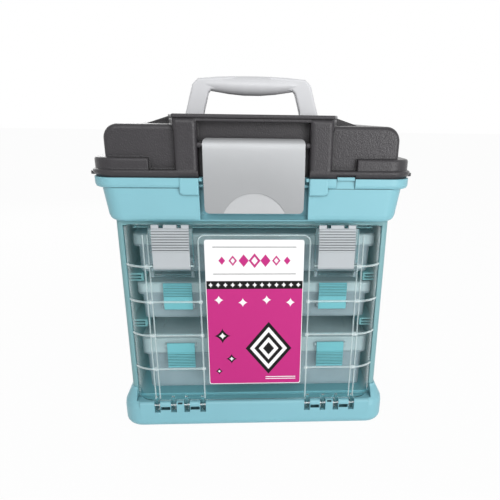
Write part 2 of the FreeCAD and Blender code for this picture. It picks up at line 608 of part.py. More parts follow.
def lid_rim():
    low = tapered((RIM_HALF - 4.2, RIM_Y0 + 2.2, RIM_Y1 - 1.0, 21.0, SEAM_Z),
                  (RIM_HALF, RIM_Y0, RIM_Y1, 24.0, SEAM_Z + 4.2))
    band = tapered((RIM_HALF, RIM_Y0, RIM_Y1, 24.0, SEAM_Z + 4.2), (RIM_HALF, RIM_Y0, RIM_Y1, 24.0, SEAM_Z + 6.6),
                   (RIM_HALF - 1.4, RIM_Y0 + 1.4, RIM_Y1 - 1.4, 22.6, SEAM_Z + 7.8))
    lip = plate(RIM_HALF + SIDE_LIP, RIM_Y0 + 22.0, RIM_Y1 - 24.0, 6.0, SEAM_Z + 1.4, SEAM_Z + 4.6)
    lip = lip.cut(block(-RIM_HALF + 9.0, RIM_HALF - 9.0, RIM_Y0, RIM_Y1, SEAM_Z, SEAM_Z + 9.0))
    return join(low, [band, lip])


def lid_corners():
    ring = tapered((RIM_HALF - 2.8, RIM_Y0 + 2.4, RIM_Y1 - 3.0, 22.0, SEAM_Z + 7.0),
                   (RIM_HALF - 2.8, RIM_Y0 + 2.4, RIM_Y1 - 3.0, 22.0, SEAM_Z + 17.0),
                   (RIM_HALF - 3.6, RIM_Y0 + 3.2, RIM_Y1 - 3.8, 21.2, SEAM_Z + 18.7),
                   (RIM_HALF - 5.2, RIM_Y0 + 4.8, RIM_Y1 - 5.4, 19.6, SEAM_Z + 19.4))
    gap_x = block(-CORNER_IN, CORNER_IN, RIM_Y0 - 5.0, RIM_Y1 + 5.0, SEAM_Z, SEAM_Z + 30.0)
    gap_y = block(-RIM_HALF - 5.0, RIM_HALF + 5.0, -62.0, 58.0, SEAM_Z, SEAM_Z + 30.0)
    return ring.cut([gap_x, gap_y])


def arched(half, top, r, y0, y1, z0):
    """A block along Y whose two upper long edges are rounded, standing on z0."""
    whole = panel_y(half, z0 - 2.0 * r, top, r, y0, y1)
    return whole.cut(block(-half - 1.0, half + 1.0, y0 - 1.0, y1 + 1.0, z0 - 3.0 * r, z0))


def lid_dome():
    dome = arched(DOME_HALF, DOME_TOP, DOME_ROUND, RIM_Y0 + 9.0, RIM_Y1 - 8.0, SEAM_Z + 2.0)
    return soften(dome, 4.5, lambda b: b.YLength < 0.01 and b.ZMax > SEAM_Z + 2.01)


def centre_plan(out, z0, z1):
    """A slice of the raised middle: as wide as the latch posts in front, then slanting out to its full width."""
    front, back = RIM_Y0 + 2.4 - out, CENTRE_Y1 + out
    a, b, slant = CENTRE_FRONT + out, CENTRE_HALF + out, RIM_Y0 + 26.0
    points = [(-a, front), (a, front), (b, slant), (b, back), (-b, back), (-b, slant)]
    wire = Part.makePolygon([V(x, y, z0) for x, y in points] + [V(points[0][0], points[0][1], z0)])
    return Part.Face(wire).extrude(V(0, 0, z1 - z0))


def lid_centre():
    """The raised middle with its cornice and its sloping shoulders."""
    low = centre_plan(0.0, DOME_TOP - 5.0, LID_TOP - 4.2)
    top = centre_plan(0.6, LID_TOP - 3.4, LID_TOP)
    neck = centre_plan(-1.0, LID_TOP - 5.0, LID_TOP - 3.0)
    top = soften(top, 1.4, lambda b: b.ZMin > LID_TOP - 0.01)
    points = [(-CENTRE_HALF - 28.0, DOME_TOP - 1.0), (CENTRE_HALF + 28.0, DOME_TOP - 1.0),
              (CENTRE_HALF + 28.0, DOME_TOP), (CENTRE_HALF + 1.0, LID_TOP - 1.4), (-CENTRE_HALF - 1.0, LID_TOP - 1.4),
              (-CENTRE_HALF - 28.0, DOME_TOP)]
    shoulders = prism_y(points, RIM_Y0 + 58.0, CENTRE_Y1 - 8.0)
    return [low, neck, top, shoulders]


def lid_pilasters():
    post = block(LATCH_BAY, CENTRE_FRONT, RIM_Y0 + 0.6, RIM_Y0 + 16.0, SEAM_Z + 5.4, LID_TOP - 3.6)
    post = soften(post, 4.2, lambda b: b.YMax < RIM_Y0 + 0.61 and b.ZMax > SEAM_Z + 5.5)
    return both(post)


def lid_hollow():
    """The lid's inside, with a jacket left round the handle's well."""
    w = LID_WALL
    x, y0, y1, top = DOME_HALF - w, RIM_Y0 + 9.0 + w, RIM_Y1 - 8.0 - w, DOME_TOP - w
    low = arched(x, top, DOME_ROUND - w, y0, y1, SEAM_Z - 1.0)
    high = centre_plan(-w, DOME_TOP - 10.0, LID_TOP - w)
    high = high.cut(block(-CENTRE_HALF, CENTRE_HALF, RIM_Y0 - 5.0, y0, SEAM_Z, LID_TOP))
    hollow = low.fuse(high)
    jacket = block(-WELL_HALF - w, WELL_HALF + w, WELL_Y0 - w, WELL_Y1 + w, WELL_Z - w, LID_TOP + 1.0)
    ends = both(block(WELL_HALF, WELL_HALF + 7.0, HANDLE_AXIS[0] - 8.0, HANDLE_AXIS[0] + 8.0,
                      WELL_Z - w, LID_TOP + 1.0))
    bay = block(-LATCH_BAY - w, LATCH_BAY + w, RIM_Y0 - 5.0, BAY_Y + w, SEAM_Z - 5.0, LID_TOP - w)
    sides = both(block(LATCH_BAY - 1.0, LATCH_BAY + 7.0, RIM_Y0 - 5.0, BAY_Y + w, SEAM_Z - 5.0, LID_TOP - w))
    return hollow.cut([jacket, bay] + ends + sides)


def lid_knuckle_parts():
    y, z = LID_AXIS
    parts = []
    for x in HINGES:
        arm = prism_x([(RIM_Y1 - 2.0, SEAM_Z + 1.0), (y, z), (y + KNUCKLE - 0.6, z + 2.0), (y + 1.0, z + 6.0),
                       (RIM_Y1 - 2.0, SEAM_Z + 7.6)], x - 7.9, x + 7.9)
        parts += both(arm.fuse(rod_x(x - 7.9, x + 7.9, y, z, KNUCKLE)))
    return parts


def bin_lid():
    body = join(lid_rim(), [lid_corners(), lid_dome()] + lid_centre() + lid_pilasters())
    y, z = MAIN_AXIS
    well = block(-WELL_HALF, WELL_HALF, WELL_Y0, WELL_Y1, WELL_Z, LID_TOP + 5.0)
    well = soften(well, 3.0, lambda b: b.ZMax < WELL_Z + 0.01)
    bay = block(-LATCH_BAY, LATCH_BAY, RIM_Y0 - 5.0, BAY_Y, SEAM_Z - 5.0, LID_TOP - 6.8)
    body = body.cut([lid_hollow(), well, bay])
    bosses = both(rod_x(MAIN_HALF + 0.5, LATCH_BAY + 1.0, y, z, 3.0))
    body = join(body, lid_knuckle_parts() + bosses)
    cuts = [rod_x(-LATCH_BAY - 6.0, LATCH_BAY + 6.0, y, z, MAIN_PIN + RUN)]
    cuts.append(rod_x(-HINGES[1] - 20.0, HINGES[1] + 20.0, LID_AXIS[0], LID_AXIS[1], HINGE_ROD + RUN))
    cuts.append(rod_x(-WELL_HALF - 6.0, WELL_HALF + 6.0, HANDLE_AXIS[0], HANDLE_AXIS[1], HANDLE_PIN + RUN))
    cuts.append(block(NOTCH[0], NOTCH[1], RIM_Y0 - 5.0, RIM_Y0 + 3.6, SEAM_Z - 1.0, SEAM_Z + 3.6))
    for x in HINGES:
        for x0, x1 in ((x - 16.5, x - 7.9), (x + 7.9, x + 16.5)):
            cuts += both(block(x0, x1, RIM_Y1 - 2.6, RIM_Y1 + 10.0, SEAM_Z - 1.0, SEAM_Z + 9.0))
    return body.cut(cuts)


# Main latch

MAIN_TOP = MAIN_AXIS[1] + 6.5
MAIN_BOTTOM = SHELL_TOP + 9.0
MAIN_PIN = 2.0


def main_latch_blade():
    """The plate of the main latch: its face bends smoothly back at the top and a little at the bottom."""
    tall = MAIN_TOP - MAIN_BOTTOM
    shares = ((3.8, 0.0), (1.9, 0.13), (0.5, 0.28), (-0.3, 0.48), (0.3, 0.7), (1.4, 0.84), (3.2, 0.94), (7.0, 1.0))
    face = [V(-MAIN_HALF, RIM_Y0 + y, MAIN_BOTTOM + share * tall) for y, share in shares]
    curve = Part.BSplineCurve()
    curve.interpolate(face)
    back = [face[-1], face[-1] + V(0, 1.8, -2.4), face[-2] + V(0, 3.6, -3.4), face[-4] + V(0, 2.7, 0),
            face[3] + V(0, 3.2, 0), face[1] + V(0, 3.8, 0), face[0] + V(0, 3.4, 0), face[0]]
    wire = Part.Wire([curve.toShape()] + Part.makePolygon(back).Edges)
    return Part.Face(wire).extrude(V(2.0 * MAIN_HALF, 0, 0))


def main_latch():
    y, z = MAIN_AXIS
    body = main_latch_blade()
    side = prism_x([(RIM_Y0 + 2.2, MAIN_BOTTOM + 8.0), (RIM_Y0 + 11.0, MAIN_BOTTOM + 16.0),
                    (RIM_Y0 + 12.0, MAIN_TOP - 10.0), (RIM_Y0 + 10.0, MAIN_TOP - 2.6), (RIM_Y0 + 7.2, MAIN_TOP - 2.0),
                    (RIM_Y0 + 2.8, MAIN_TOP - 8.0)], MAIN_HALF - 2.6, MAIN_HALF)
    ribs = [side.copy() for _ in range(2)]
    ribs[0].translate(V(-MAIN_HALF + 20.0, 0, 0))
    ribs[1].translate(V(-MAIN_HALF + 20.0, 0, 0))
    body = join(body, both(side) + [ribs[0], mirror(ribs[1])])
    body = body.common(panel_y(MAIN_HALF, MAIN_BOTTOM, MAIN_TOP, 5.0, RIM_Y0 - 5.0, RIM_Y0 + 20.0))
    scoop = Part.makeCylinder(36.0, 18.0, V(0, RIM_Y0 - 11.0, MAIN_BOTTOM - 14.6), V(0, 1, 0))
    wedge = prism_x([(RIM_Y0 - 6.0, MAIN_BOTTOM - 2.0), (RIM_Y0 + 3.9, MAIN_BOTTOM - 2.0),
                     (RIM_Y0 + 2.4, MAIN_BOTTOM + 23.0), (RIM_Y0 - 6.0, MAIN_BOTTOM + 23.0)], -40.0, 40.0)
    body = body.cut(scoop.common(wedge))
    return body.cut(rod_x(-MAIN_HALF - 1.0, MAIN_HALF + 1.0, y, z, MAIN_PIN + RUN))


def main_latch_pin():
    return rod_x(-LATCH_BAY - 5.5, LATCH_BAY + 5.5, MAIN_AXIS[0], MAIN_AXIS[1], MAIN_PIN)


# Handle

HANDLE_PIN = 3.0
LEG_WIDTH = 21.6
LEG_TOP = 17.0


def handle_frame():
    base = HANDLE_AXIS[1]
    top = LID_TOP + HANDLE_TOP
    outer = [(HANDLE_BASE, base - 9.0), (HANDLE_BASE, LID_TOP), (HANDLE_CROWN + 1.6, top - 9.0),
             (HANDLE_CROWN - 5.0, top - 3.0), (20.0, top - 0.3)]
    inner = [(20.0, top - 14.0), (HANDLE_CROWN - LEG_TOP - 3.0, top - 15.0), (HANDLE_CROWN - LEG_TOP, top - 18.0),
             (HANDLE_BASE - LEG_WIDTH, LID_TOP), (HANDLE_BASE - LEG_WIDTH, base - 9.0)]
    right = outer + inner
    left = [(-x, z) for x, z in right[::-1]]
    body = prism_y(right + left, -8.0, 8.0)
    body = body.cut(both(block(0.0, HANDLE_BASE + 5.0, -9.0, 9.0, base - 10.0, base)))
    for shoe in both(rod_x(HANDLE_BASE - LEG_WIDTH, HANDLE_BASE, HANDLE_AXIS[0], base, 8.0)):
        body = body.fuse(shoe)
    return body.removeSplitter()


def handle_grip():
    """A thick rounded grip, fullest in the middle, drawn through rounded sections."""
    top = LID_TOP + HANDLE_TOP
    wires = []
    for x, wide, tall, drop in ((-54.0, 8.0, 6.6, 8.6), (-42.0, 9.4, 8.0, 9.0), (-27.0, 11.3, 9.4, 9.8),
                                (-10.0, 12.6, 10.3, 10.3), (10.0, 12.6, 10.3, 10.3), (27.0, 11.3, 9.4, 9.8),
                                (42.0, 9.4, 8.0, 9.0), (54.0, 8.0, 6.6, 8.6)):
        ring = Part.Ellipse(V(0, 0, 0), wide, tall).toShape()
        ring.rotate(V(0, 0, 0), V(0, 0, 1), 90)
        ring.rotate(V(0, 0, 0), V(0, 1, 0), 90)
        ring.translate(V(x, 0, top - drop))
        wires.append(Part.Wire([ring]))
    return Part.makeLoft(wires, True, True)


def handle():
    frame = handle_frame()
    frame = soften(frame, 2.6, lambda b: (abs(b.YMin) > 7.99 and b.YLength < 0.01 and b.ZMin > LID_TOP - 2.0
                                          and b.ZMax < LID_TOP + HANDLE_TOP + 1.0))
    body = join(frame, [handle_grip()])
    bore = rod_x(-HANDLE_BASE - 1.0, HANDLE_BASE + 1.0, HANDLE_AXIS[0], HANDLE_AXIS[1], HANDLE_PIN + RUN)
    return body.cut(bore)


def handle_pins():
    y, z = HANDLE_AXIS
    return Part.makeCompound(both(rod_x(HANDLE_BASE - LEG_WIDTH - 1.0, WELL_HALF + 5.0, y, z, HANDLE_PIN)))


# Door

CHEEK = 3.2
POCKET = 3.0                 # the door steps back behind each latch
ROWS = (77.2, 119.6, 160.0, 200.5)
LABEL = (54.6, 58.0, 231.5)  # half width, bottom and top
LABEL_THICK = 0.3
BEAD = 1.0


def door_path(offset):
    """The door's plan line on the right: flat, then curving back to the post."""
    x0, y0 = DOOR_HALF - DOOR_WRAP, DOOR_Y
    turn = 2.0 * math.atan2(DOOR_FALL, DOOR_WRAP)
    radius = DOOR_WRAP / math.sin(turn) - offset
    centre = V(x0, y0 + radius + offset, 0)
    points = []
    for i in range(3):
        a = turn * i / 2.0
        points.append(centre + V(radius * math.sin(a), -radius * math.cos(a), 0))
    return points


def door_sheet(out, back, z0, z1):
    """A slice of the door between two offsets from its face, over a range of heights."""
    a = door_path(out)
    b = door_path(back)
    am = [V(-p.x, p.y, 0) for p in a]
    bm = [V(-p.x, p.y, 0) for p in b]
    edges = [Part.makeLine(am[0], a[0]), Part.Arc(a[0], a[1], a[2]).toShape(), Part.makeLine(a[2], b[2]),
             Part.Arc(b[2], b[1], b[0]).toShape(), Part.makeLine(b[0], bm[0]),
             Part.Arc(bm[0], bm[1], bm[2]).toShape(), Part.makeLine(bm[2], am[2]),
             Part.Arc(am[2], am[1], am[0]).toShape()]
    solid = Part.Face(Part.Wire(edges)).extrude(V(0, 0, z1 - z0))
    solid.translate(V(0, 0, z0))
    return solid


def door_beads():
    """Raised beads on the face: cross beads, upright beads and the arch round the label."""
    parts = []
    rail = DOOR_LATCH_X + DOOR_LATCH_WIDTH / 2 + 0.4 + CHEEK
    for z in ROWS:
        band = door_sheet(-BEAD, 1.0, z, z + 2.6)
        inner = rail if z > DOOR_LATCH_AXIS[1] - 14.0 else LABEL[0] + 6.0
        parts.append(band.cut(block(-inner, inner, DOOR_Y - 5.0, DOOR_Y + 40.0, z - 1.0, z + 5.0)))
    for x in (DOOR_LATCH_X + 24.0, DOOR_LATCH_X + 29.0):
        parts += both(block(x, x + 1.6, DOOR_Y - BEAD, DOOR_Y + 1.0, DOOR_Z0 + 3.0, DOOR_Z1 - 10.0))
    top = LABEL[2] + 5.6
    half = LABEL[0] + 7.4
    arch = panel_y(half, DOOR_Z0 + 3.0, top, 7.0, DOOR_Y - BEAD, DOOR_Y + 1.0)
    hole = panel_y(half - 2.0, DOOR_Z0 - 20.0, top - 2.0, 5.0, DOOR_Y - BEAD - 1.0, DOOR_Y + 2.0)
    parts.append(arch.cut(hole))
    return parts


def door_latch_seat():
    """The stepped-back panel and the two cheeks that carry a door latch."""
    y, z = DOOR_LATCH_AXIS
    half = DOOR_LATCH_WIDTH / 2 + 0.4
    x0, x1 = DOOR_LATCH_X - half, DOOR_LATCH_X + half
    panel = block(x0 - CHEEK, x1 + CHEEK, DOOR_Y + POCKET, DOOR_Y + POCKET + DOOR_THICK, z - 13.0, DOOR_Z1)
    floor = block(x0 - CHEEK, x1 + CHEEK, DOOR_Y, DOOR_Y + POCKET + DOOR_THICK, z - 13.0, z - 10.5)
    parts = [panel, floor]
    for a, b in ((x0 - CHEEK, x0), (x1, x1 + CHEEK)):
        cheek = prism_x([(DOOR_Y + POCKET, z - 13.0), (DOOR_Y - 1.0, z - 13.0), (y - 3.6, z - 6.0), (y - 3.6, z + 32.0),
                         (y - 2.4, z + 37.0), (y, z + 40.0), (DOOR_Y + POCKET, z + 41.0)], a, b)
        parts.append(cheek)
    cut = block(x0, x1, DOOR_Y - 8.0, DOOR_Y + POCKET, z - 10.5, DOOR_Z1 + 1.0)
    return parts, cut


def door_arm(x):
    y, z = DOOR_AXIS
    body = block(x - ARM_WIDTH / 2, x + ARM_WIDTH / 2, y - 2.2, y + 3.2, z - 5.4, DOOR_Z0 + 6.0)
    toe = rod_x(x - ARM_WIDTH / 2, x + ARM_WIDTH / 2, y + 0.5, z - 5.4, 2.7)
    return body.fuse(toe)


def door():
    body = door_sheet(0.0, DOOR_THICK, DOOR_Z0, DOOR_Z1)
    shape = panel_y(DOOR_HALF + 3.0, DOOR_Z0, DOOR_Z1, 12.0, DOOR_Y - 10.0, DOOR_Y + 40.0)
    flange = block(-DOOR_HALF + 12.0, DOOR_HALF - 12.0, DOOR_Y + 1.0, DOOR_Y + 9.0, DOOR_Z1 - 2.5, DOOR_Z1)
    body = body.common(shape)
    body = join(body, door_beads() + [flange])
    seat, cut = door_latch_seat()
    body = body.cut(both(cut))
    extra = []
    for part in seat + [door_arm(x) for x in ARMS]:
        extra += both(part)
    body = join(body, extra)
    y, z = DOOR_AXIS
    ly, lz = DOOR_LATCH_AXIS
    bores = [rod_x(ARMS[0] - 6.0, ARMS[3] + 6.0, y, z, HINGE_PIN + RUN)]
    bores.append(rod_x(DOOR_LATCH_X - 30.0, DOOR_LATCH_X + 30.0, ly, lz, 1.5 + RUN))
    cuts = []
    for b in bores:
        cuts += both(b)
    return body.cut(cuts)


def door_hinge_pins():
    y, z = DOOR_AXIS
    return Part.makeCompound(both(rod_x(ARMS[0] - 5.0, ARMS[3] + 5.0, y, z, HINGE_PIN)))


def label_card():
    half, z0, z1 = LABEL
    return panel_y(half, z0, z1, 2.4, DOOR_Y - LABEL_THICK, DOOR_Y)


def door_latch():
    y, z = DOOR_LATCH_AXIS
    top = DOOR_Z1 + 0.7
    half = DOOR_LATCH_WIDTH / 2
    face = [(y - 3.9, z), (y - 4.3, z + 10.0), (y - 4.5, z + 15.5)]
    count = 9
    low = z + 15.5
    step = (top - 3.6 - low) / count
    for i in range(count):
        t = (i + 0.5) / count
        lean = 3.2 * t * t
        zz = low + i * step
        face += [(y - 5.2 + lean, zz + step * 0.16), (y - 5.2 + lean, zz + step * 0.76), (y - 4.0 + lean, zz + step * 0.84),
                 (y - 4.0 + lean, zz + step)]
    face += [(y - 1.0, top), (y + 1.4, top), (y + 0.2, top - 8.0), (y - 1.7, z + 22.0), (y - 1.7, z + 10.0), (y, z)]
    body = prism_x(face, DOOR_LATCH_X - half, DOOR_LATCH_X + half)
    barrel = rod_x(DOOR_LATCH_X - half, DOOR_LATCH_X + half, y, z, 4.0)
    body = join(body, [barrel])
    cuts = [block(DOOR_LATCH_X + dx - 2.4, DOOR_LATCH_X + dx + 2.4, y - 8.0, y + 5.0, top - 3.2, top + 1.0)
            for dx in (-9.5, 9.5)]
    cuts.append(rod_x(DOOR_LATCH_X - half - 1.0, DOOR_LATCH_X + half + 1.0, y, z, 1.5 + RUN))
    return body.cut(cuts)


def door_latch_pin():
    reach = DOOR_LATCH_WIDTH / 2 + 0.4 + CHEEK
    return rod_x(DOOR_LATCH_X - reach, DOOR_LATCH_X + reach, DOOR_LATCH_AXIS[0], DOOR_LATCH_AXIS[1], 1.5)


def build():
    shapes = {"base_plinth": base_plinth(), "foot_pads": foot_pads(), "base_screws": base_screws(),
              "rack_shell": rack_shell(), "bulk_bin": bulk_bin(), "bin_screws": bin_screws(),
              "lid_hinge_rods": lid_hinge_rods(), "bin_lid": bin_lid(), "main_latch": main_latch(),
              "main_latch_pin": main_latch_pin(), "handle": handle(), "handle_pins": handle_pins(),
              "door": door(), "door_hinge_pins": door_hinge_pins(), "label_card": label_card()}
    for level, top in (("lower", LOWER_RUNNER), ("upper", UPPER_RUNNER)):
        right = runner(top)
        shapes["runner_" + level + "_right"] = right
        shapes["runner_" + level + "_left"] = mirror(right)
    latch = door_latch()
    pin = door_latch_pin()
    shapes["door_latch_right"] = latch
    shapes["door_latch_left"] = mirror(latch)
    shapes["door_latch_pin_right"] = pin
    shapes["door_latch_pin_left"] = mirror(pin)
    shapes.update(deep_box("deep_box", DEEP_Z))
    shapes.update(thin_box("middle_box", MIDDLE_Z))
    shapes.update(thin_box("top_box", TOP_Z))
    return shapes


os.makedirs("parts", exist_ok=True)
for node, shape in build().items():
    shape.exportStep("parts/" + node + ".step")
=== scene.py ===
import math

import bpy
import numpy as np
from bpy.props import FloatProperty, FloatVectorProperty, PointerProperty
from mathutils import Matrix, Vector


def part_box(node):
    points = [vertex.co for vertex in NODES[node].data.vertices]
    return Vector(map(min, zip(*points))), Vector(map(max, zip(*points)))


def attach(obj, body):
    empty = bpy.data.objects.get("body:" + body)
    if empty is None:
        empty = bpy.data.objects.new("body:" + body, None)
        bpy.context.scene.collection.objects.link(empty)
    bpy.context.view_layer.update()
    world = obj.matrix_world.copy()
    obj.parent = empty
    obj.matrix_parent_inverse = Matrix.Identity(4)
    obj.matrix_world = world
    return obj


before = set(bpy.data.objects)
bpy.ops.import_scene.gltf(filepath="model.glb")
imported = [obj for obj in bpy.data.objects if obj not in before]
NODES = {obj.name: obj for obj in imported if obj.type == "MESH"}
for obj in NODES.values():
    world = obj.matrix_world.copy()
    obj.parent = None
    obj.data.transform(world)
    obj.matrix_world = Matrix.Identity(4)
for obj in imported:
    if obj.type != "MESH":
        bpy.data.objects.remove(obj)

bl_info = {
    "name": "Craft Storage Rack",
    "version": (1, 0, 0),
    "blender": (4, 5, 0),
    "location": "3D View > Sidebar > Craft Rack",
    "description": "Finishes, printed card, light and camera for the packed craft rack",
    "category": "Object",
}

MM = 0.001
CARD_LOW, CARD_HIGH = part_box("label_card")

# Where the door's beads run, in millimetres from the middle and from the floor
BEAD_ROWS = {78.5: 60.6, 120.9: 60.6, 161.3: 60.6, 201.8: 113.6}  # height of a level bead: where it starts
BEAD_UPRIGHTS = (114.8, 119.8)
BEAD_FOOT, BEAD_HEAD = 39.5, 236.5
CARD_FRAME_HALF, CARD_FRAME_TOP, CARD_FRAME_CORNER, CARD_FRAME_LEG = 61.0, 236.1, 7.0, 222.0
# The buttons at the bead crossings carry painted glints.
CROSSING_X = (61.0, 117.3)
CROSSING_RADIUS = 2.6
LATCH_EDGE = 0.15 * MM  # the latches' ribs are too fine for the usual edge radius

# Each soft box: its name, the property of its power, its place and its side in metres
SOFT_BOXES = (
    ("key_soft_box", "key", (-0.1, -1.45, 1.1), 0.9),
    ("side_soft_box", "side", (0.8, -1.35, 0.4), 0.7),
    ("back_soft_box", "back", (-0.7, 1.5, 1.0), 0.8),
)
LAMPS_AIM = (0.0, 0.0, 0.2)
PAPER_GLOW = 0.96  # share of plain white in the floor; the rest takes the rack's shadow


def linear(code):
    """sRGB hex code to linear red, green and blue."""
    parts = [int(code[i:i + 2], 16) / 255 for i in (1, 3, 5)]
    return tuple(c / 12.92 if c <= 0.04045 else ((c + 0.055) / 1.055) ** 2.4 for c in parts)


def colour(name, code, description):
    """A colour property whose default is a hex code."""
    return FloatVectorProperty(
        name=name, description=description, default=linear(code), size=3, subtype="COLOR",
        min=0.0, max=1.0)


def length(name, value_mm, description):
    """A length property whose default is in millimetres."""
    return FloatProperty(
        name=name, description=description, default=value_mm * MM, min=0.0, unit="LENGTH", precision=5)


def power(name, watts, description):
    """The power of a lamp."""
    return FloatProperty(name=name, description=description, default=watts, min=0.0, unit="POWER")


def angle(name, degrees, description):
    """An angle of the camera."""
    return FloatProperty(
        name=name, description=description, default=math.radians(degrees), unit="ROTATION")


class RackColours(bpy.types.PropertyGroup):
    bin: colour("Bin", "#86bfcb", "Pale aqua of the top bin and the base")
    body: colour("Posts and sides", "#7eabb0", "Greyer teal of the case that carries the boxes")
    lid: colour("Lid", "#39373a", "Charcoal of the hinged lid")
    silver: colour("Main latch", "#a5a7a9", "Silver pigment of the big front latch")
    # Painted light: the thumb scoop's floor is painted paler for the light it catches where it tilts up; its
    # finish is the same.
    scoop: colour("Thumb scoop painted light", "#bcbec0", "Paler, smoother floor of the latch's thumb scoop")
    handle: colour("Handle", "#e4e5e8", "Light grey of the carrying handle")
    door: colour("Door", "#ecf6f6", "Faint cool tint of the clear door")
    glint: colour("Door glint", "#8fbcbe", "Cast that the case lends to the door's reflections")
    # The pale bead colour is painted highlight on the clear beads.
    bead: colour("Door bead highlights", "#eef6f7", "Paler look of the thick beads")
    door_latch: colour("Door latches", "#b6bcc0", "Off-white of the two door latches")
    tray: colour("Box trays", "#cfced6", "Cool grey cast of the clear trays")
    box_lid: colour("Box lids", "#e9e8ec", "Milky grey of the frosted box lids")
    box_latch: colour("Box latches", "#90d2dc", "Teal of the ribbed box latches")
    steel: colour("Pins", "#b8b9bb", "Bright drawn steel")
    rubber: colour("Feet", "#232325", "Soft black rubber")
    card: colour("Card", "#f8f7f8", "White board of the printed card")
    magenta: colour("Magenta ink", "#c42680", "Large printed field of the card")
    black: colour("Black ink", "#141213", "Band and motifs of the card")


class RackSizes(bpy.types.PropertyGroup):
    # The real grain is 0.1 to 0.3 mm wide. It is drawn coarser, so that it shows from a step away.
    grain: length("Moulded grain", 0.7, "Width of one grain of the spark-eroded mould finish")
    lid_grain: length("Lid grain", 1.5, "Width of one grain of the lid's coarser texture")
    edge: length("Edge radius", 0.45, "Small radius that every moulded edge shows")
    # Painted shade: grooves and inner corners narrower than this are painted dark in the moulded plastics.
    crease_shade: length("Painted crease shade", 2.0, "How near two walls stand where the groove between them looks dark")
    flow: length("Flow marks", 45.0, "Size of the soft clouds that the melt leaves in clear plastic")
    brush: length("Wire drawing marks", 0.25, "Spacing of the fine lines along a drawn pin")
    ink: length("Ink film", 0.04, "Step from one printed layer to the next")
    scoop_radius: length("Scoop disc", 35.7, "Radius of the paler disc, just inside the thumb scoop's rim")
    scoop_z: length("Scoop centre", 244.4, "Height of the scoop's centre, below the latch's lower edge")
    door_face: length("Door face", 123.5, "How far in front of the middle the flat of the door's face stands")
    door_half: length("Door half width", 141.5, "From the middle to the door's side edge")
    door_wrap: length("Door wrap", 23.5, "Width of the curved part at each side of the door")
    door_fall: length("Door fall", 13.6, "How far back the curved part of the door comes")
    bead: length("Bead height", 1.25, "How far the door's stiffening beads stand out")
    bead_half: length("Bead half width", 1.05, "Half the width of a stiffening bead")
    floor: length("Floor", 30000.0, "Side of the pale studio floor")


class RackStudio(bpy.types.PropertyGroup):
    camera: FloatVectorProperty(
        name="Camera", description="Place of the camera", default=(-0.0111, -0.7266, 0.3540), size=3,
        subtype="TRANSLATION", unit="LENGTH")
    turn: angle("Turn", 3.73, "Turn of the view to the right")
    dip: angle("Dip", 23.83, "Downward tilt of the view")
    roll: angle("Roll", 0.81, "Roll of the view about its own axis")
    lens: FloatProperty(
        name="Lens", description="Focal length on a 36 mm sensor", default=39.85, unit="CAMERA")
    rise: FloatProperty(
        name="Rise", description="Upward shift of the lens in frame widths", default=0.2222)
    slide: FloatProperty(
        name="Slide", description="Sideways shift of the lens in frame widths", default=-0.0574)
    room: FloatProperty(
        name="Room light", description="Strength of the even light from all round", default=0.40, min=0.0)
    key: power("Key lamp", 8.0, "Power of the soft box above the front")
    side: power("Side lamp", 9.5, "Power of the soft box at the right")
    back: power("Back lamp", 7.0, "Power of the soft box behind")


def add(tree, kind, sockets=None, **settings):
    """Adds a node, sets its own settings, and gives each named or numbered input a value or a link."""
    made = tree.nodes.new(kind)
    for name, value in settings.items():
        setattr(made, name, value)
    for name, value in (sockets or {}).items():
        if isinstance(value, bpy.types.NodeSocket):
            tree.links.new(value, made.inputs[name])
        else:
            made.inputs[name].default_value = value
    return made


def blank(name):
    """A new material without nodes, and its output."""
    material = bpy.data.materials.new(name)
    material.use_nodes = True
    tree = material.node_tree
    tree.nodes.clear()
    return material, tree, add(tree, "ShaderNodeOutputMaterial")


def opaque(rgb):
    """A colour as a socket takes it."""
    return (*rgb, 1.0)


def shade(rgb, factor):
    """A lighter or darker tone of a colour."""
    return (*(min(1.0, c * factor) for c in rgb), 1.0)


def moulded_plastic(name, rgb, roughness, grain, depth, edge, drift=0.05, ior=1.49, metallic=0.0,
                    sheen=0.0, crease_shade=0.0):
    """Injection-moulded plastic: grain from the eroded mould, soft clouds in colour and gloss, rounded edges.
    With a crease_shade distance, grooves and inner corners narrower than that get painted shade inside."""
    material, tree, out = blank(name)
    place = add(tree, "ShaderNodeTexCoord").outputs["Object"]
    clouds = add(tree, "ShaderNodeTexNoise", {
        "Vector": place, "Scale": 1 / (60 * MM), "Detail": 3.0, "Roughness": 0.55}).outputs["Fac"]
    fine = add(tree, "ShaderNodeTexNoise", {
        "Vector": place, "Scale": 1 / grain, "Detail": 2.0, "Roughness": 0.6}).outputs["Fac"]
    tint = add(tree, "ShaderNodeMix", {
        "Factor": clouds, "A": shade(rgb, 1 - drift), "B": shade(rgb, 1 + drift)}, data_type="RGBA")
    if crease_shade:
        # Painted shade: ambient occlusion darkens the colour in narrow grooves and inner corners.
        inside = add(tree, "ShaderNodeAmbientOcclusion", {"Distance": crease_shade}, samples=8, only_local=True)
        lit = add(tree, "ShaderNodeMapRange", {
            "Value": inside.outputs["AO"], "From Min": 0.2, "From Max": 0.85})
        tint = add(tree, "ShaderNodeMix", {
            "Factor": lit.outputs["Result"], "A": shade(rgb, 0.25), "B": tint.outputs["Result"]},
            data_type="RGBA")
    gloss = add(tree, "ShaderNodeMapRange", {
        "Value": clouds, "From Min": 0.3, "From Max": 0.7,
        "To Min": roughness - 0.05, "To Max": roughness + 0.05})
    round_edge = add(tree, "ShaderNodeBevel", {"Radius": edge}, samples=8)
    grains = add(tree, "ShaderNodeBump", {
        "Strength": 1.0, "Distance": depth, "Height": fine, "Normal": round_edge.outputs["Normal"]})
    skin = add(tree, "ShaderNodeBsdfPrincipled", {
        "Base Color": tint.outputs["Result"], "Roughness": gloss.outputs["Result"],
        "Normal": grains.outputs["Normal"], "IOR": ior, "Metallic": metallic, "Sheen Weight": sheen})
    tree.links.new(skin.outputs["BSDF"], out.inputs["Surface"])
    return material


